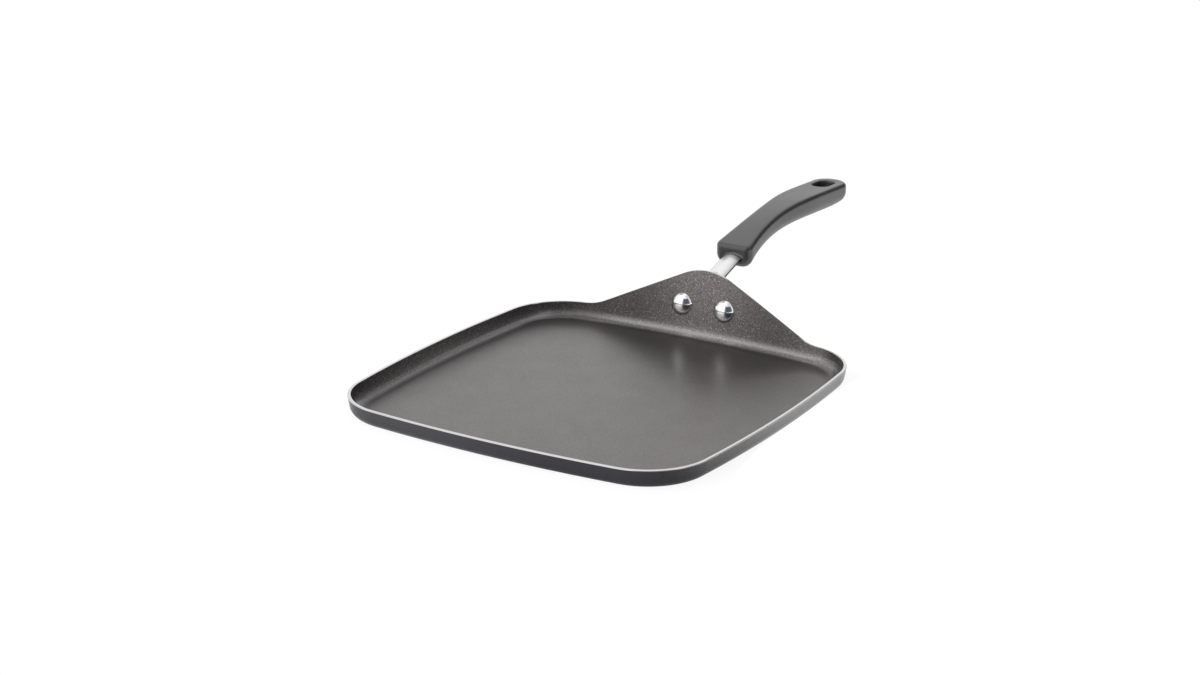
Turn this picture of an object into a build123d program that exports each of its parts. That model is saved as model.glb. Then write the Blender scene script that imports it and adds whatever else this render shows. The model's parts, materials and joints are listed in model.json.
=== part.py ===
from build123d import *
import os
from math import asin, cos, degrees, radians, sin, sqrt, tan

# A square stovetop griddle: a pressed tray whose back wall rises into a tab, a sheet-metal bracket
# riveted to the tab, and a moulded grip screwed to the bracket's tang.
# Millimetres, +Z up. The origin is the middle of the underside, and +Y points to the handle.

# Tray
pan_width = 280.0          # across the rim, from the middle of one side to the middle of the other
side_bow_radius = 1030.0   # each side of the rim swells outwards a little
corner_radius = 46.5       # rim corners, outside
pan_gauge = 2.3
wall_flare = 10.0          # degrees that the walls lean outwards
rim_height = 13.1
base_radius = 6.8          # outside bend from the base to the walls
cove_radius = 10.4         # the same bend inside
rim_edge_radius = 0.5      # rounding of the trimmed edge, outside

# Tab, where the back wall is left standing
tab_height = 50.5
tab_slope = 25.3           # degrees that its flanks fall
tab_crown_radius = 42.5
tab_foot_radius = 40.0

# Rivets
rivet_spacing = 35.0
rivet_height = 24.2        # above the underside
rivet_shank = 6.0
rivet_head = 15.8
rivet_head_height = 4.6
rivet_tail = 10.0
rivet_tail_height = 2.4
rivet_hole_clearance = 0.1
seat_clearance = 0.05      # between faces that are drawn tight against each other

# Bracket
bracket_gauge = 1.8
flange_depth = 20.0        # height of the riveted wings
neck_width = 15.4
neck_rise = 17.5           # degrees that the neck climbs
neck_height = 38.1         # where the line of the neck crosses the flange
neck_length = 39.3         # from that crossing to the front face of the grip
neck_fillet = 6.0          # between the wings and the neck
bend_radius = 8.0
crown_rise = 2.6           # how far the neck is pressed up into an arch
crown_start = 6.5          # from the crossing to where the arch begins
crown_run = 9.0            # length over which the arch comes up
tang_length = 42.0         # inside the grip

# Grip
grip_length = 170.0
grip_above = 9.2           # front face above the neck's edges
grip_below = 9.5           # and below them
grip_crest_run = 95.0      # from the front face to the highest point
grip_rise = 15.4           # climb of the top from the front face to the highest point
grip_droop = 2.8           # fall of the top from there to the end
grip_under_rise = 25.0     # degrees that the underside climbs at the front
grip_crest_depth = 16.8
grip_end_depth = 14.0
grip_front_width = 31.0
grip_waist_width = 22.6
grip_waist_run = 51.4
grip_end_width = 28.8
grip_end_run = 117.4       # from the front to where the sides run parallel again
grip_top_radius = 3.0      # rounding along the top edges
grip_bottom_radius = 9.0   # and along the bottom ones
grip_corner_radius = 5.0   # rounding of the front face at its sides and below
grip_end_fall = 1.0        # degrees that the top slopes down at the end
grip_end_lift = 9.0        # degrees that the underside climbs at the end
socket_clearance = 0.2

# Hanging hole
hole_width = 13.8
hole_length = 24.0
hole_setback = 21.8        # from the end of the grip to the middle of the hole
hole_edge_radius = 0.6

# Screw through the underside of the grip into the tang
screw_run = 23.0           # from the front face
screw_shank = 4.0
screw_head = 7.6
screw_head_height = 2.0
screw_head_radius = 1.2    # rounding of the head's rim
screw_land = 1.6           # grip left between the head and the socket
screw_tip = 1.5            # past the tang
screw_clearance = 0.15
recess_width = 1.1         # cross recess in the head
recess_span = 4.4
recess_depth = 1.2

tolerance = 0.001


def bowed_square(half_width, bow_radius, round_radius):
    """Draw a square with bowed sides and round corners, each arc tangent to the next."""
    bow_centre = half_width - bow_radius
    reach = bow_radius - round_radius
    corner = (bow_centre + sqrt(2 * reach**2 - bow_centre**2)) / 2
    side_end = Vector(corner, corner - bow_centre) * (bow_radius / reach) + Vector(0, bow_centre)
    corner_mid = Vector(corner, corner) + Vector(1, 1).normalized() * round_radius
    for turn in range(0, 360, 90):
        side_points = [Vector(-side_end.X, side_end.Y), Vector(0, half_width), side_end]
        corner_points = [side_end, corner_mid, Vector(side_end.Y, side_end.X)]
        ThreePointArc(*[point.rotate(Axis.Z, -turn) for point in side_points])
        ThreePointArc(*[point.rotate(Axis.Z, -turn) for point in corner_points])


def back_wall(x, height):
    """Plane on the outside of the back wall, facing out, with its y axis up the wall."""
    bow = side_bow_radius + (height - rim_height) * tan(radians(wall_flare))
    swing = asin(x / bow)
    lean = radians(wall_flare)
    y = pan_width / 2 - side_bow_radius + bow * cos(swing)
    facing = (sin(swing) * cos(lean), cos(swing) * cos(lean), -sin(lean))
    return Plane(origin=(x, y, height), x_dir=(-cos(swing), sin(swing), 0), z_dir=facing)


def arch_strip(half_width, rise, thickness):
    """Draw the section of a strip pressed into an arch, its outer corners on the x axis."""
    outer_radius = (half_width**2 + rise**2) / (2 * rise)
    centre = (0, rise - outer_radius)
    spread = degrees(asin(half_width / outer_radius))
    outer = CenterArc(centre, outer_radius, 90 - spread, 2 * spread)
    inner = CenterArc(centre, outer_radius - thickness, 90 - spread, 2 * spread)
    Line(outer @ 0, inner @ 0)
    Line(outer @ 1, inner @ 1)


os.makedirs("parts", exist_ok=True)

rivet_planes = {
    "left": back_wall(-rivet_spacing / 2, rivet_height),
    "right": back_wall(rivet_spacing / 2, rivet_height),
}
rivet_hole_cut = 4 * (pan_gauge + bracket_gauge)

# Tray: a flared block, hollowed and rounded inside and out, then trimmed to the rim and the tab
flare_run = rim_height * tan(radians(wall_flare))
block_height = tab_height + 2 * pan_gauge
slope = radians(tab_slope)
crown_foot = Vector(tab_crown_radius * sin(slope), tab_height - tab_crown_radius * (1 - cos(slope)))
foot_top = rim_height + tab_foot_radius * (1 - cos(slope))
foot_x = crown_foot.X + (crown_foot.Y - foot_top) / tan(slope) + tab_foot_radius * sin(slope)

with BuildPart() as pan:
    with BuildSketch():
        with BuildLine():
            bowed_square(pan_width / 2 - flare_run, side_bow_radius - flare_run, corner_radius - flare_run)
        make_face()
    extrude(amount=block_height, taper=-wall_flare)
    outer_walls = pan.faces().sort_by(Axis.Z)[1:-1]
    offset(amount=-pan_gauge, openings=pan.faces().sort_by(Axis.Z)[-1], kind=Kind.INTERSECTION)
    fillet(pan.faces().filter_by(Axis.Z).sort_by(Axis.Z)[1].edges(), radius=cove_radius)
    fillet(pan.faces().filter_by(Axis.Z).sort_by(Axis.Z)[0].edges(), radius=base_radius)
    with BuildSketch(Plane.XZ):
        with BuildLine():
            crown_centre = (0, tab_height - tab_crown_radius)
            crown = CenterArc(crown_centre, tab_crown_radius, 90 - tab_slope, tab_slope)
            foot_centre = (foot_x, rim_height + tab_foot_radius)
            foot = CenterArc(foot_centre, tab_foot_radius, 270 - tab_slope, tab_slope)
            Line(crown @ 0, foot @ 0)
            Polyline(foot @ 1, (pan_width, rim_height), (pan_width, block_height), (0, block_height))
            mirror(about=Plane.YZ)
        make_face()
    extrude(amount=-pan_width, mode=Mode.SUBTRACT)
    with BuildSketch(Plane.XZ):
        with Locations((0, rim_height)):
            Rectangle(2 * pan_width, block_height, align=(Align.CENTER, Align.MIN))
    extrude(amount=pan_width, mode=Mode.SUBTRACT)
    trimmed_edges = pan.edges().filter_by(lambda edge: (edge @ 0.5).Z > rim_height - tolerance)
    outer_edges = trimmed_edges.filter_by(
        lambda edge: min(wall.distance_to(Vertex(edge @ 0.5)) for wall in outer_walls) < tolerance
    )
    fillet(outer_edges, radius=rim_edge_radius)
    with Locations(*rivet_planes.values()):
        Cylinder((rivet_shank + rivet_hole_clearance) / 2, rivet_hole_cut, mode=Mode.SUBTRACT)

# Bracket: a strip bent off the tab, cut to a T, with its neck pressed into an arch
flange_plane = back_wall(0, neck_height)
crossing = flange_plane.origin + flange_plane.z_dir * (seat_clearance + bracket_gauge / 2)
flange_foot = crossing - flange_plane.y_dir * (neck_height - rivet_height + flange_depth)
neck_along = Vector(0, cos(radians(neck_rise)), sin(radians(neck_rise)))
neck_up = Vector(0, -sin(radians(neck_rise)), cos(radians(neck_rise)))


def neck_plane(distance):
    """Plane square across the neck at the height of its edges, with its y axis up."""
    edge_line = crossing + neck_up * (bracket_gauge / 2)
    return Plane(origin=edge_line + neck_along * distance, x_dir=(-1, 0, 0), z_dir=neck_along)


screw_centre = neck_plane(neck_length + screw_run).origin
screw_plane = Plane(origin=screw_centre, x_dir=(1, 0, 0), z_dir=neck_up)

with BuildPart() as bracket:
    with BuildLine():
        FilletPolyline(flange_foot, crossing, crossing + neck_along * crown_start, radius=bend_radius)
    with BuildSketch(Plane(origin=flange_foot, x_dir=(1, 0, 0), z_dir=flange_plane.y_dir)):
        Rectangle(rivet_spacing + flange_depth, bracket_gauge)
    sweep()
    with BuildSketch(Plane.XZ) as tee:
        with Locations((0, rivet_height)):
            SlotCenterToCenter(rivet_spacing, flange_depth)
            Rectangle(neck_width, tab_height, align=(Align.CENTER, Align.MIN))
        neck_half = neck_width / 2
        corners = tee.vertices().filter_by(lambda corner: abs(abs(corner.X) - neck_half) < tolerance)
        fillet(corners.sort_by(Axis.Y)[:2], radius=neck_fillet)
    extrude(amount=-2 * pan_width, mode=Mode.INTERSECT)
    with BuildSketch(neck_plane(crown_start)):
        Rectangle(neck_width, bracket_gauge, align=(Align.CENTER, Align.MAX))
    with BuildSketch(neck_plane(crown_start + crown_run)):
        with BuildLine():
            arch_strip(neck_width / 2, crown_rise, bracket_gauge)
        make_face()
    loft(ruled=True)
    with BuildSketch(neck_plane(crown_start + crown_run)):
        with BuildLine():
            arch_strip(neck_width / 2, crown_rise, bracket_gauge)
        make_face()
    extrude(amount=neck_length + tang_length - crown_start - crown_run)
    with Locations(*rivet_planes.values()):
        Cylinder((rivet_shank + rivet_hole_clearance) / 2, rivet_hole_cut, mode=Mode.SUBTRACT)
    with BuildSketch(screw_plane):
        Circle(screw_shank / 2 + seat_clearance)
    extrude(amount=2 * crown_rise, mode=Mode.SUBTRACT)

# Rivets: a domed head inside the tray, a shank through tab and flange, and a set tail outside
# The flange is flat and the wall bows, so a tail seats where its far side meets the flange
right_rivet = rivet_planes["right"]
flange_face = back_wall(0, rivet_height).offset(seat_clearance + bracket_gauge).origin
tail_far_side = flange_face + Vector((rivet_spacing + rivet_tail) / 2, 0, 0)
tail_seat = (tail_far_side - right_rivet.origin).dot(right_rivet.z_dir) + seat_clearance
head_seat = -pan_gauge - seat_clearance
head_top = head_seat - rivet_head_height
tail_top = tail_seat + rivet_tail_height


def dome(width, height):
    """Radius of a dome, and the angle from its top to its edge."""
    radius = ((width / 2)**2 + height**2) / (2 * height)
    return radius, degrees(asin(width / 2 / radius))


rivets = {}
for side, plane in rivet_planes.items():
    head_radius, head_angle = dome(rivet_head, rivet_head_height)
    tail_radius, tail_angle = dome(rivet_tail, rivet_tail_height)
    with BuildPart() as rivet:
        with BuildSketch(Plane(origin=plane.origin, x_dir=plane.x_dir, z_dir=-plane.y_dir)):
            with BuildLine():
                inside = CenterArc((0, head_top + head_radius), head_radius, 270, head_angle)
                outside = CenterArc((0, tail_top - tail_radius), tail_radius, 90 - tail_angle, tail_angle)
                shank_side = rivet_shank / 2
                Polyline(inside @ 1, (shank_side, head_seat), (shank_side, tail_seat), outside @ 0)
                Line(outside @ 1, inside @ 0)
            make_face()
        revolve(axis=Axis(plane.origin, plane.z_dir))
    rivets["rivet_" + side] = rivet.part

# Grip: the side outline crossed with the plan outline, rounded all over, with a socket for the tang
front = neck_plane(neck_length)
top_front = front.origin + Vector(0, 0, grip_above)
bottom_front = front.origin - Vector(0, 0, grip_below)
crest = Vector(front.origin.Y + grip_crest_run, top_front.Z + grip_rise)
grip_end = front.origin.Y + grip_length
grip_reach = grip_front_width + grip_end_width
past_end = grip_end + grip_top_radius
end_height = crest.Y - grip_droop
end_fall = Vector(cos(radians(grip_end_fall)), -sin(radians(grip_end_fall)))
end_lift = Vector(cos(radians(grip_end_lift)), sin(radians(grip_end_lift)))
front_climb = Vector(neck_along.Y, neck_along.Z)
under_climb = Vector(cos(radians(grip_under_rise)), sin(radians(grip_under_rise)))

splay = (grip_front_width - grip_waist_width) / 2
waist = front.origin.Y + grip_waist_run
plan_run = grip_waist_run + grip_corner_radius
plan_start = Vector(grip_waist_width / 2 + splay * (plan_run / grip_waist_run)**2, waist - plan_run)
start_direction = Vector(-2 * splay * plan_run, grip_waist_run**2)

arch_radius = ((neck_width / 2)**2 + crown_rise**2) / (2 * crown_rise)
arch_centre = crown_rise - arch_radius
edge_drop = bracket_gauge * sqrt(1 - (neck_width / 2 / arch_radius)**2)
socket_floor = -edge_drop - socket_clearance
socket_half = neck_width / 2 + socket_clearance
socket_radius = arch_radius + socket_clearance
socket_depth = tang_length + socket_clearance

screw_seat = socket_floor - screw_land
screw_end = crown_rise + screw_tip

with BuildPart() as grip:
    with BuildSketch(Plane.YZ.offset(-grip_reach)):
        with BuildLine():
            top = Spline(
                (top_front.Y, top_front.Z),
                crest,
                (past_end, end_height),
                tangents=[front_climb, (1, 0), end_fall],
            )
            bottom = Spline(
                (bottom_front.Y, bottom_front.Z),
                crest - Vector(0, grip_crest_depth),
                (past_end, end_height - grip_end_depth),
                tangents=[under_climb, (1, 0), end_lift],
            )
            Line(top @ 0, bottom @ 0)
            Line(top @ 1, bottom @ 1)
        make_face()
    extrude(amount=2 * grip_reach)
    with BuildSketch(Plane.XY):
        with BuildLine():
            flank = Spline(
                plan_start,
                (grip_waist_width / 2, waist),
                (grip_end_width / 2, front.origin.Y + grip_end_run),
                tangents=[start_direction, (0, 1), (0, 1)],
            )
            end_round = CenterArc((0, grip_end - grip_end_width / 2), grip_end_width / 2, 0, 90)
            Line(flank @ 1, end_round @ 0)
            Line(flank @ 0, (0, plan_start.Y))
            mirror(about=Plane.YZ)
        make_face()
    extrude(amount=2 * crest.Y, mode=Mode.INTERSECT)
    underside = grip.faces().filter_by(lambda face: face.normal_at().Z < -0.5)
    fillet(underside.edges().sort_by(Axis.Y)[1:], grip_bottom_radius)
    front_edges = grip.faces().sort_by(Axis.Y)[0].edges().sort_by(Axis.Z)
    fillet(front_edges[:-1], grip_corner_radius)
    fillet(grip.faces().filter_by(lambda face: face.normal_at().Z > 0.5).edges(), grip_top_radius)

    with BuildSketch(neck_plane(neck_length - grip_above)):
        with BuildLine():
            roof_spread = degrees(asin(socket_half / socket_radius))
            roof = CenterArc((0, arch_centre), socket_radius, 90 - roof_spread, 2 * roof_spread)
            Polyline(roof @ 0, (socket_half, socket_floor), (-socket_half, socket_floor), roof @ 1)
        make_face()
    extrude(amount=grip_above + socket_depth, mode=Mode.SUBTRACT)
    with BuildSketch(Plane.XY):
        with Locations((0, grip_end - hole_setback)):
            SlotOverall(hole_length, hole_width, rotation=90)
    extrude(amount=2 * crest.Y, mode=Mode.SUBTRACT)
    fillet(grip.edges(Select.LAST), radius=hole_edge_radius)
    with BuildSketch(screw_plane.offset(screw_seat)):
        Circle(screw_head / 2 + screw_clearance)
    extrude(amount=-grip_front_width, mode=Mode.SUBTRACT)
    with BuildSketch(screw_plane.offset(screw_seat)):
        Circle(screw_shank / 2 + screw_clearance)
    extrude(amount=screw_end + screw_clearance - screw_seat, mode=Mode.SUBTRACT)

# Screw: a pan head with a cross recess, and a plain shank up through the tang
with BuildPart() as screw:
    with BuildSketch(screw_plane.offset(screw_seat - seat_clearance)):
        Circle(screw_head / 2)
    extrude(amount=-screw_head_height)
    head_face = screw.faces().sort_by(Axis(screw_plane.origin, screw_plane.z_dir))[0]
    fillet(head_face.edges(), radius=screw_head_radius)
    with BuildSketch(screw_plane.offset(screw_seat - seat_clearance)):
        Circle(screw_shank / 2)
    extrude(amount=screw_end - screw_seat + seat_clearance)
    with BuildSketch(screw_plane.offset(screw_seat - seat_clearance - screw_head_height)):
        Rectangle(recess_span, recess_width)
        Rectangle(recess_width, recess_span)
    extrude(amount=recess_depth, mode=Mode.SUBTRACT)
pieces = {"pan": pan.part, "bracket": bracket.part, **rivets, "grip": grip.part, "grip_screw": screw.part}
for name, piece in pieces.items():
    piece.label = name
    export_step(piece, "parts/" + name + ".step")
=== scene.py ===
import json
from math import cos, radians, sin

import bpy
from mathutils import Matrix, Vector

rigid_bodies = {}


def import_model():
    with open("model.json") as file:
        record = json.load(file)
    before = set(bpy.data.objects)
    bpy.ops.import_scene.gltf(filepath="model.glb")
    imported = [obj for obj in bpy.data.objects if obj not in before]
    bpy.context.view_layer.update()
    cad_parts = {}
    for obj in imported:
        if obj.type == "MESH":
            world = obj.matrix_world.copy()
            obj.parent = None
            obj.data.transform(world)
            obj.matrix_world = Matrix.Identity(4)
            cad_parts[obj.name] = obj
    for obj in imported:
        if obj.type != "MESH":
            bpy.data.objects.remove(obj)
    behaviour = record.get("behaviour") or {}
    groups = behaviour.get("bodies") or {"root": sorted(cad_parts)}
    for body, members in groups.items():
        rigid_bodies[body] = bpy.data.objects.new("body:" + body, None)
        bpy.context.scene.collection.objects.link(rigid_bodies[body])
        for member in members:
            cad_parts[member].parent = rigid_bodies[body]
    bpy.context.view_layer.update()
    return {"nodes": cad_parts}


# Lengths are in metres, in the frame of the solids: the origin is the middle of the underside and
# +Y points to the handle. Directions round the pan go from the front, -Y, to the right, +X.
rim_height = 0.0131
bare_edge = 0.0005
tab_start = 0.120
rivet_offset = 0.0175
rivet_height = 0.0242
rivet_radius = 0.0079
neck_half_width = 0.0077
neck_start = 0.152

# Camera, worked out from the outline of the rim in a picture of 1200 by 675
camera_azimuth = radians(31.84)
camera_elevation = radians(18.824)
focal_pixels = 2346.9
picture_width = 1200
sensor_width = 36.0
pan_in_camera = Vector((0.00091, -0.03930, -1.598747))

for thing in list(bpy.data.objects):
    bpy.data.objects.remove(thing)

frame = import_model()
nodes = frame["nodes"]
scene = bpy.context.scene


# Node helpers

def new_material(name):
    material = bpy.data.materials.new(name)
    material.use_nodes = True
    tree = material.node_tree
    return material, tree, tree.nodes["Principled BSDF"]


def connect(tree, value, socket):
    """Link an output to a socket, or set the socket to a plain value."""
    if isinstance(value, bpy.types.NodeSocket):
        tree.links.new(value, socket)
    else:
        socket.default_value = value


def set_inputs(tree, node, values):
    for name, value in values.items():
        connect(tree, value, node.inputs[name])


def add(tree, kind, settings=None, **values):
    """Add a node, with its properties from settings and its input values or links by name."""
    node = tree.nodes.new(kind)
    for key, value in (settings or {}).items():
        setattr(node, key, value)
    set_inputs(tree, node, values)
    return node


def maths(tree, operation, first, second=0.0):
    node = tree.nodes.new("ShaderNodeMath")
    node.operation = operation
    connect(tree, first, node.inputs[0])
    connect(tree, second, node.inputs[1])
    return node.outputs[0]


def product(tree, first, *others):
    for other in others:
        first = maths(tree, "MULTIPLY", first, other)
    return first


def opposite(tree, value):
    return maths(tree, "SUBTRACT", 1.0, value)


def remap(tree, value, low, high, to_low, to_high, kind="SMOOTHSTEP"):
    """Map a value from one range to another, held at the ends."""
    node = tree.nodes.new("ShaderNodeMapRange")
    node.interpolation_type = kind
    for socket, number in zip(node.inputs[1:5], (low, high, to_low, to_high)):
        socket.default_value = number
    tree.links.new(value, node.inputs["Value"])
    return node.outputs["Result"]


def blend_values(tree, share, first, second):
    step = maths(tree, "SUBTRACT", second, first)
    return maths(tree, "ADD", first, maths(tree, "MULTIPLY", share, step))


def blend_colours(tree, share, first, second):
    node = tree.nodes.new("ShaderNodeMix")
    node.data_type = "RGBA"
    connect(tree, share, node.inputs["Factor"])
    # Sockets for numbers have the same names as those for colours, so these go by their places
    connect(tree, first, node.inputs[6])
    connect(tree, second, node.inputs[7])
    return node.outputs[2]


def grey(value):
    return (value, value, value, 1.0)


def toned(tree, colour, tone):
    node = add(tree, "ShaderNodeVectorMath", {"operation": "SCALE"}, Vector=colour, Scale=tone)
    return node.outputs["Vector"]


def ramp(tree, value, stops):
    """A level that follows a list of places and levels."""
    node = add(tree, "ShaderNodeValToRGB", Fac=value)
    points = node.color_ramp.elements
    node.color_ramp.interpolation = "EASE"
    for end, (place, level) in ((points[0], stops[0]), (points[1], stops[-1])):
        end.position, end.color = place, grey(level)
    for place, level in stops[1:-1]:
        points.new(place).color = grey(level)
    return node.outputs["Color"]


def object_coordinates(tree):
    return add(tree, "ShaderNodeTexCoord").outputs["Object"]


def parts_of(tree, vector):
    return add(tree, "ShaderNodeSeparateXYZ", Vector=vector).outputs


def noise(tree, coordinates, scale=1.0, detail=2.0, roughness=0.5):
    node = add(
        tree, "ShaderNodeTexNoise",
        Vector=coordinates, Scale=scale, Detail=detail, Roughness=roughness,
    )
    return node.outputs["Fac"]


def stretched(tree, coordinates, factors):
    return add(tree, "ShaderNodeMapping", Vector=coordinates, Scale=factors).outputs["Vector"]


def bump(tree, height, distance, strength=1.0):
    return add(tree, "ShaderNodeBump", Height=height, Distance=distance, Strength=strength)


# Coating: inside, a dark film with fine metal flakes in it, glossy on the floor and matt on the walls;
# outside, plain enamel; and bare metal along the trim. Here and below, a tuple of four numbers is what
# remap takes: the ends of a range, and the levels at those ends.
flake_scale = 2000.0
grain_scale = 1200.0
cloud_scale = 40.0
flakes = (0.94, 0.98, 0.0, 1.0)
specks = (0.36, 0.64, 0.0, 0.7)
cell_share = 0.3
floor_film = (0.082, 0.0735, 0.0735, 1.0)
floor_speck = (0.155, 0.143, 0.143, 1.0)
wall_film = (0.04, 0.0355, 0.035, 1.0)
wall_speck = (0.122, 0.111, 0.108, 1.0)
flake_colour = (0.22, 0.205, 0.2, 1.0)
outside_film = (0.021, 0.0195, 0.0245, 1.0)
bare_metal = grey(0.57)

# Where the finishes meet: slopes are the upward part of the normal, 1 on a level face
wall_to_floor = (0.88, 0.995, 0.0, 1.0)
outward_reach = 0.01
underside_slope = -0.3
tab_face = 0.85

# Painted light and shade, as tones: by X over the floor, and by X, by height and by distance from a rivet
# over the walls
# Painted shade: the floor darker towards the left wall
painted_floor_shade = (-0.122, -0.095, 0.75, 1.0)
wall_reach = 0.14
brightest_tone = 2.0
# Painted light and shade along the walls, brighter and darker by X
painted_wall_light = (
    (-0.14, 2.0), (-0.131, 0.8), (-0.115, 0.6), (-0.06, 0.85),
    (0.0, 1.6), (0.062, 0.95), (0.096, 1.3), (0.114, 0.35),
)
# Painted light: the walls lighter upwards
painted_height_light = (0.01, 0.05, 0.92, 1.15)
# A painted shade ring round each rivet head
painted_rivet_shade = (rivet_radius, rivet_radius + 0.0011, 0.4, 1.0)

# Shine: the gloss rises and falls with the slope, rises later by the left wall, and dips at the back left
floor_metal = 0.94
wall_roughness = 0.22
floor_roughness = 0.28
outside_roughness = 0.2
trim_polish = 0.2
cloudiness = (0.25, 0.75, 0.0, 0.05)
gloss_rise = (0.36, 0.74, 0.035, 0.82)
gloss_fall = (0.8, 0.9, 1.0, 0.45)
left_delay = (-0.128, -0.118, 0.13, 0.0)
dip_start = (-0.122, -0.112, 1.0, 0.4)
dip_end = (-0.1, -0.055, 0.4, 1.0)
outside_gloss = 0.25
coating_ior = 1.85
grain_height = 0.00001
floor_grain = 0.4
outside_grain = 0.1


# Painted light and shade on the walls: lighter and darker across the pan, lighter upwards, and a painted
# shade ring round each rivet
def painted_wall_light_and_shade(tree, position):
    across_pan = remap(tree, position["X"], -wall_reach, wall_reach, 0.0, 1.0, "LINEAR")
    stops = [((x + wall_reach) / (2 * wall_reach), tone / brightest_tone) for x, tone in painted_wall_light]
    to_rivet = add(
        tree, "ShaderNodeCombineXYZ",
        X=maths(tree, "SUBTRACT", maths(tree, "ABSOLUTE", position["X"]), rivet_offset),
        Z=maths(tree, "SUBTRACT", position["Z"], rivet_height),
    ).outputs["Vector"]
    distance = add(tree, "ShaderNodeVectorMath", {"operation": "LENGTH"}, Vector=to_rivet).outputs["Value"]
    return product(
        tree, ramp(tree, across_pan, stops), brightest_tone,
        remap(tree, position["Z"], *painted_height_light), remap(tree, distance, *painted_rivet_shade),
    )


def inside_gloss(tree, slope, x):
    delayed = maths(tree, "SUBTRACT", slope, remap(tree, x, *left_delay))
    dip = maths(tree, "MAXIMUM", remap(tree, x, *dip_start), remap(tree, x, *dip_end))
    return product(tree, remap(tree, delayed, *gloss_rise), remap(tree, slope, *gloss_fall), dip)


def coating():
    material, tree, shader = new_material("coating")
    place = object_coordinates(tree)
    position = parts_of(tree, place)
    facing = parts_of(tree, add(tree, "ShaderNodeNewGeometry").outputs["Normal"])
    slope = facing["Z"]
    flat = remap(tree, slope, *wall_to_floor)

    # Outside is what faces away from the middle of the pan, or down
    outwards = maths(
        tree, "ADD",
        maths(tree, "MULTIPLY", position["X"], facing["X"]),
        maths(tree, "MULTIPLY", position["Y"], facing["Y"]),
    )
    outside = maths(
        tree, "MAXIMUM",
        maths(tree, "GREATER_THAN", outwards, outward_reach),
        maths(tree, "LESS_THAN", slope, underside_slope),
    )

    # Trimmed is the edge of the rim, and the edge of the tab between its two faces
    above_rim = maths(tree, "GREATER_THAN", position["Z"], rim_height - bare_edge)
    before_tab = maths(tree, "LESS_THAN", position["Y"], tab_start)
    across = maths(tree, "LESS_THAN", maths(tree, "ABSOLUTE", facing["Y"]), tab_face)
    trimmed = maths(tree, "MULTIPLY", above_rim, maths(tree, "MAXIMUM", before_tab, across))

    cells = add(tree, "ShaderNodeTexVoronoi", Vector=place, Scale=flake_scale)
    pick = add(tree, "ShaderNodeSeparateColor", Color=cells.outputs["Color"]).outputs
    clouds = noise(tree, place, cloud_scale, detail=3.0)
    grain = noise(tree, place, grain_scale, roughness=0.6)
    speckle = maths(
        tree, "ADD",
        remap(tree, grain, *specks, "LINEAR"),
        maths(tree, "MULTIPLY", pick["Green"], cell_share),
    )

    on_floor = blend_colours(tree, speckle, floor_film, floor_speck)
    # Painted shade on the floor towards the left wall
    on_floor = toned(tree, on_floor, remap(tree, position["X"], *painted_floor_shade))
    on_wall = blend_colours(tree, speckle, wall_film, wall_speck)
    on_wall = blend_colours(tree, remap(tree, pick["Red"], *flakes), on_wall, flake_colour)
    # The walls carry painted light and shade from their tone
    on_wall = toned(tree, on_wall, painted_wall_light_and_shade(tree, position))
    film = blend_colours(tree, flat, on_wall, on_floor)
    film = blend_colours(tree, outside, film, outside_film)

    roughness = blend_values(tree, flat, wall_roughness, floor_roughness)
    roughness = blend_values(tree, outside, roughness, outside_roughness)
    roughness = maths(tree, "ADD", roughness, remap(tree, clouds, *cloudiness))
    roughness = maths(tree, "SUBTRACT", roughness, product(tree, trimmed, trim_polish))

    metal = product(tree, opposite(tree, outside), flat, floor_metal)
    gloss = inside_gloss(tree, slope, position["X"])
    relief = product(
        tree,
        blend_values(tree, flat, 1.0, floor_grain),
        blend_values(tree, outside, 1.0, outside_grain),
        opposite(tree, trimmed),
    )
    set_inputs(tree, shader, {
        "Base Color": blend_colours(tree, trimmed, film, bare_metal),
        "Metallic": maths(tree, "MAXIMUM", trimmed, metal),
        "Roughness": roughness,
        "Specular IOR Level": maths(tree, "MAXIMUM", gloss, product(tree, outside, outside_gloss)),
        "IOR": coating_ior,
        "Normal": bump(tree, grain, grain_height, relief).outputs["Normal"],
    })
    return material


# Strip: polished metal, with the fine lines that rolling and polishing leave along it, and dark edges painted
# on as shade
strip_lines = (2400.0, 18.0, 2400.0)
strip_smears = (120.0, 25.0, 120.0)
# The last of these is a dark grey for painted shade along the edges of the neck
strip_bright, strip_dull, painted_dark_edge = grey(0.73), grey(0.68), grey(0.1)
smeared = (0.3, 0.75, 0.0, 1.0)
painted_edge_reach = (neck_half_width - 0.0009, neck_half_width - 0.0005, 0.0, 1.0)
strip_roughness = (0.3, 0.7, 0.3, 0.38)
line_height = 0.000004


def polished_strip():
    material, tree, shader = new_material("polished_strip")
    place = object_coordinates(tree)
    position = parts_of(tree, place)
    lines = noise(tree, stretched(tree, place, strip_lines))
    smears = noise(tree, stretched(tree, place, strip_smears), detail=3.0)
    polished = blend_colours(tree, remap(tree, smears, *smeared), strip_bright, strip_dull)
    # Painted shade along both edges of the neck, past its start
    painted_edge_mask = product(
        tree,
        remap(tree, maths(tree, "ABSOLUTE", position["X"]), *painted_edge_reach),
        maths(tree, "GREATER_THAN", position["Y"], neck_start),
    )
    set_inputs(tree, shader, {
        "Base Color": blend_colours(tree, painted_edge_mask, polished, painted_dark_edge),
        "Metallic": 1.0,
        "Roughness": remap(tree, lines, *strip_roughness),
        "Normal": bump(tree, lines, line_height).outputs["Normal"],
    })
    return material


# Rivets and screw: metal with marks that change its colour, its roughness and its surface

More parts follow.
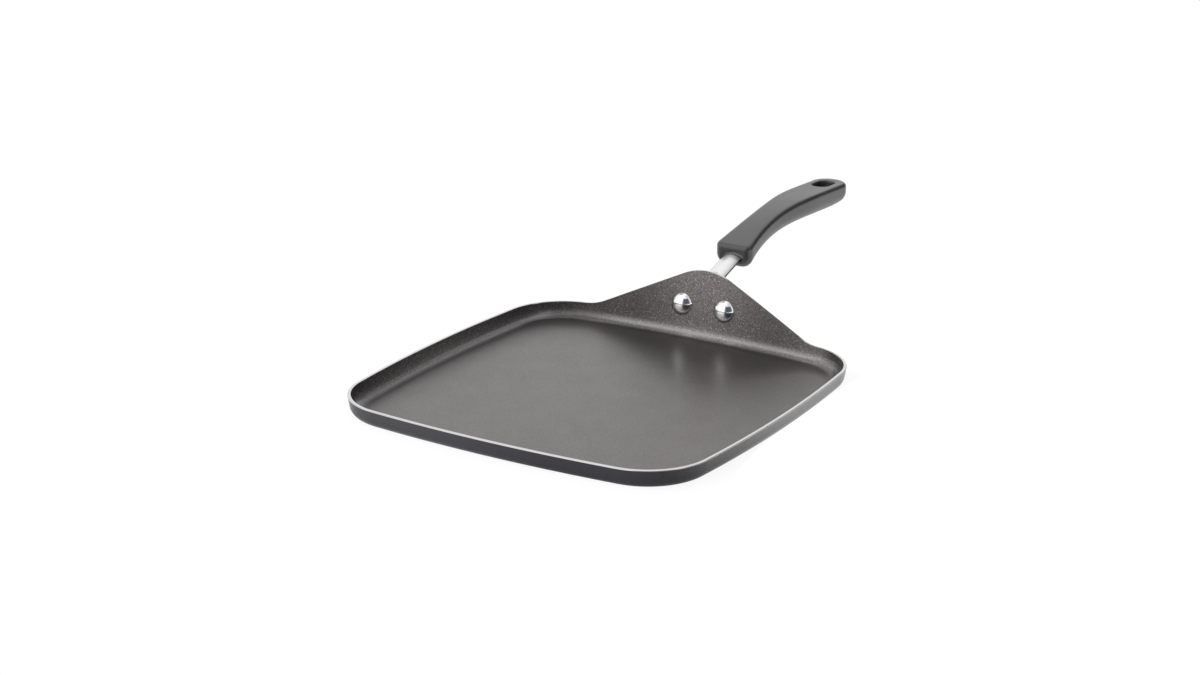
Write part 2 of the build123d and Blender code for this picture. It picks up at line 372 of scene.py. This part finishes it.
def marked_metal(name, stretch, blotches, first, second, roughness, height):
    material, tree, shader = new_material(name)
    marks = noise(tree, stretched(tree, object_coordinates(tree), stretch), detail=4.0)
    set_inputs(tree, shader, {
        "Base Color": blend_colours(tree, remap(tree, marks, *blotches), first, second),
        "Metallic": 1.0,
        "Roughness": remap(tree, marks, *roughness),
        "Normal": bump(tree, marks, height).outputs["Normal"],
    })
    return material


def bright_rivet():
    return marked_metal(
        "bright_rivet",
        stretch=(900.0, 300.0, 900.0),
        blotches=(0.3, 0.8, 0.0, 1.0),
        first=grey(0.86),
        second=grey(0.8),
        roughness=(0.3, 0.7, 0.09, 0.15),
        height=0.000006,
    )


def plated_screw():
    return marked_metal(
        "plated_screw",
        stretch=(700.0, 700.0, 700.0),
        blotches=(0.35, 0.7, 0.0, 1.0),
        first=(0.62, 0.63, 0.65, 1.0),
        second=(0.48, 0.48, 0.47, 1.0),
        roughness=(0.3, 0.7, 0.22, 0.4),
        height=0.00001,
    )


# Grip: a dark moulding with a satin skin, its edges softened in shading
skin_scale = 2200.0
flow_stretch = (60.0, 14.0, 60.0)
flow_tones = (0.3, 0.7, 0.0, 1.0)
flow_roughness = (0.3, 0.7, 0.3, 0.36)
skin_roughness = 0.06
skin_height = 0.000012
resin_dark = (0.014, 0.013, 0.014, 1.0)
resin_light = (0.018, 0.017, 0.0175, 1.0)
resin_ior = 1.74
soft_edge = 0.003
soft_edge_samples = 8


def moulding():
    material, tree, shader = new_material("moulding")
    place = object_coordinates(tree)
    skin = noise(tree, place, skin_scale)
    flow = noise(tree, stretched(tree, place, flow_stretch), detail=3.0)
    relief = bump(tree, skin, skin_height)
    softened = add(tree, "ShaderNodeBevel", {"samples": soft_edge_samples}, Radius=soft_edge)
    tree.links.new(softened.outputs["Normal"], relief.inputs["Normal"])
    set_inputs(tree, shader, {
        "Base Color": blend_colours(tree, remap(tree, flow, *flow_tones), resin_dark, resin_light),
        "Roughness": maths(
            tree, "ADD",
            remap(tree, flow, *flow_roughness),
            maths(tree, "MULTIPLY", skin, skin_roughness),
        ),
        "IOR": resin_ior,
        "Normal": relief.outputs["Normal"],
    })
    return material


rivet_material = bright_rivet()
finishes = {
    "pan": coating(),
    "bracket": polished_strip(),
    "rivet_left": rivet_material,
    "rivet_right": rivet_material,
    "grip": moulding(),
    "grip_screw": plated_screw(),
}
for name, material in finishes.items():
    nodes[name].data.materials.clear()
    nodes[name].data.materials.append(material)

# Floor: pale paper, white to the camera apart from a faint shadow. The object mirrors a painted glow on it:
# darker under the pan, in front and behind, as painted shade, and brighter to the right, as painted light.
floor_reach = 4.0
floor_drop = 0.0002
paper_grey = grey(0.95)
white = grey(1.0)
white_share = 0.92
# Painted shade and painted light in the glow that the object mirrors
painted_shade_under_pan = (0.128, 0.15, 0.6, 1.0)
painted_shade_in_front = (radians(-40), radians(25), 1.0, 0.45)
painted_light_to_the_right = (radians(20), radians(108), 1.0, 3.8)
painted_shade_behind = (radians(115), radians(170), 1.0, 0.65)

floor_mesh = bpy.data.meshes.new("floor")
floor_mesh.from_pydata(
    [
        (-floor_reach, -floor_reach, 0), (floor_reach, -floor_reach, 0),
        (floor_reach, floor_reach, 0), (-floor_reach, floor_reach, 0),
    ],
    [], [(0, 1, 2, 3)],
)
floor = bpy.data.objects.new("floor", floor_mesh)
scene.collection.objects.link(floor)
floor.location.z = -floor_drop


def direction_round(tree, position):
    return maths(tree, "ARCTAN2", position["X"], maths(tree, "MULTIPLY", position["Y"], -1.0))


paper, tree, shader = new_material("paper")
tree.nodes.remove(shader)
place = parts_of(tree, object_coordinates(tree))
beyond = maths(tree, "MAXIMUM", maths(tree, "ABSOLUTE", place["X"]), maths(tree, "ABSOLUTE", place["Y"]))
round_pan = direction_round(tree, place)
# Painted glow for mirrored rays: painted shade under the pan, in front and behind, painted light to the right
painted_glow = product(
    tree, remap(tree, beyond, *painted_shade_under_pan),
    remap(tree, round_pan, *painted_shade_in_front), remap(tree, round_pan, *painted_light_to_the_right), remap(tree, round_pan, *painted_shade_behind),
)
path = add(tree, "ShaderNodeLightPath").outputs
seen = maths(tree, "MAXIMUM", path["Is Camera Ray"], path["Is Glossy Ray"])
strength = maths(tree, "MAXIMUM", painted_glow, path["Is Camera Ray"])
matt = add(tree, "ShaderNodeBsdfDiffuse", Color=paper_grey)
glowing = add(tree, "ShaderNodeEmission", Color=white, Strength=strength)
mixed = tree.nodes.new("ShaderNodeMixShader")
connect(tree, maths(tree, "MULTIPLY", seen, white_share), mixed.inputs[0])
tree.links.new(matt.outputs[0], mixed.inputs[1])
tree.links.new(glowing.outputs[0], mixed.inputs[2])
tree.links.new(mixed.outputs[0], tree.nodes["Material Output"].inputs["Surface"])
floor_mesh.materials.append(paper)

# Surround: white to the camera. To the object it is 1, a little more overhead, with patches at other levels.
# A patch has its middle, half width and softness round the pan, its lower and upper end and softness in
# height, all in degrees, and its level. Where patches meet, the later one counts.
overhead_level = (0.5, 0.7, 1.0, 1.1)
patches = {
    "back left": ((-145, 35, 10), (-20, 42, 5), 1.14),
    "back left, high": ((-148, 30, 6), (38, 62, 5), 1.5),
    "front left, low": ((-32, 34, 6), (-20, 13, 4), 1.5),
    "front left": ((-32, 34, 6), (13, 50, 4), 4.5),
    "front left, high": ((-52, 24, 3), (44, 64, 4), 3.2),
    "left, high": ((-97, 20, 3), (46, 76, 4), 0.25),
    "front right": ((44, 34, 9), (-20, 51, 5), 0.12),
    "back right": ((125, 33, 5), (-20, 58, 6), 0.2),
    "back": ((166, 22, 6), (-20, 41, 5), 0.2),
    "right, high": ((85, 40, 10), (56, 80, 4), 0.7),
}
bluish = (0.82, 0.95, 1.2, 1.0)
# A first reflection sees no more than this. The world counts it as depth 2.
mirror_limit = 1.35
first_reflection = 2.5

world = bpy.data.worlds.new("surround")
scene.world = world
world.use_nodes = True
tree = world.node_tree
sky = tree.nodes["Background"]
direction = parts_of(tree, add(tree, "ShaderNodeTexCoord").outputs["Generated"])
azimuth = direction_round(tree, direction)


def band(low, high, soft):
    """1 between two heights, in degrees above the horizon."""
    opening = remap(tree, direction["Z"], sin(radians(low - soft)), sin(radians(low + soft)), 0.0, 1.0)
    closing = remap(tree, direction["Z"], sin(radians(high - soft)), sin(radians(high + soft)), 1.0, 0.0)
    return maths(tree, "MULTIPLY", opening, closing)


def sector(middle, half, soft):
    """1 round a direction, in degrees from the front to the right."""
    away = maths(tree, "ABSOLUTE", maths(tree, "SUBTRACT", azimuth, radians(middle)))
    away = maths(tree, "MINIMUM", away, maths(tree, "SUBTRACT", radians(360), away))
    return remap(tree, away, radians(half - soft), radians(half + soft), 1.0, 0.0)


room = remap(tree, direction["Z"], *overhead_level)
shares = {}
for name, (across, upwards, level) in patches.items():
    shares[name] = maths(tree, "MULTIPLY", sector(*across), band(*upwards))
    room = blend_values(tree, shares[name], room, level)
path = add(tree, "ShaderNodeLightPath").outputs
mirrored = maths(
    tree, "MULTIPLY", path["Is Glossy Ray"], maths(tree, "LESS_THAN", path["Ray Depth"], first_reflection)
)
room = blend_values(tree, mirrored, room, maths(tree, "MINIMUM", room, mirror_limit))
tint = maths(tree, "MULTIPLY", shares["front right"], opposite(tree, path["Is Camera Ray"]))
set_inputs(tree, sky, {
    "Color": blend_colours(tree, tint, white, bluish),
    "Strength": maths(tree, "MAXIMUM", room, path["Is Camera Ray"]),
})

# Lamp: a soft square, overhead on the left
lamp_place = Vector((-0.5, 0.0, 1.3))
lamp_target = Vector((0.0, 0.05, 0.0))
lamp = bpy.data.lights.new("overhead", "AREA")
lamp.shape = "SQUARE"
lamp.size = 1.1
lamp.energy = 1.0
overhead = bpy.data.objects.new("overhead", lamp)
scene.collection.objects.link(overhead)
overhead.location = lamp_place
overhead.rotation_euler = (lamp_target - lamp_place).to_track_quat("-Z", "Y").to_euler()

# Camera
right = Vector((cos(camera_azimuth), sin(camera_azimuth), 0))
back = Vector((
    sin(camera_azimuth) * cos(camera_elevation),
    -cos(camera_azimuth) * cos(camera_elevation),
    sin(camera_elevation),
))
turn = Matrix((right, back.cross(right), back)).transposed()
lens = bpy.data.cameras.new("camera")
lens.sensor_width = sensor_width
lens.sensor_fit = "HORIZONTAL"
lens.lens = focal_pixels / picture_width * sensor_width
camera = bpy.data.objects.new("camera", lens)
scene.collection.objects.link(camera)
camera.matrix_world = Matrix.Translation(turn @ -pan_in_camera) @ turn.to_4x4()
scene.camera = camera

scene.view_settings.view_transform = "Standard"
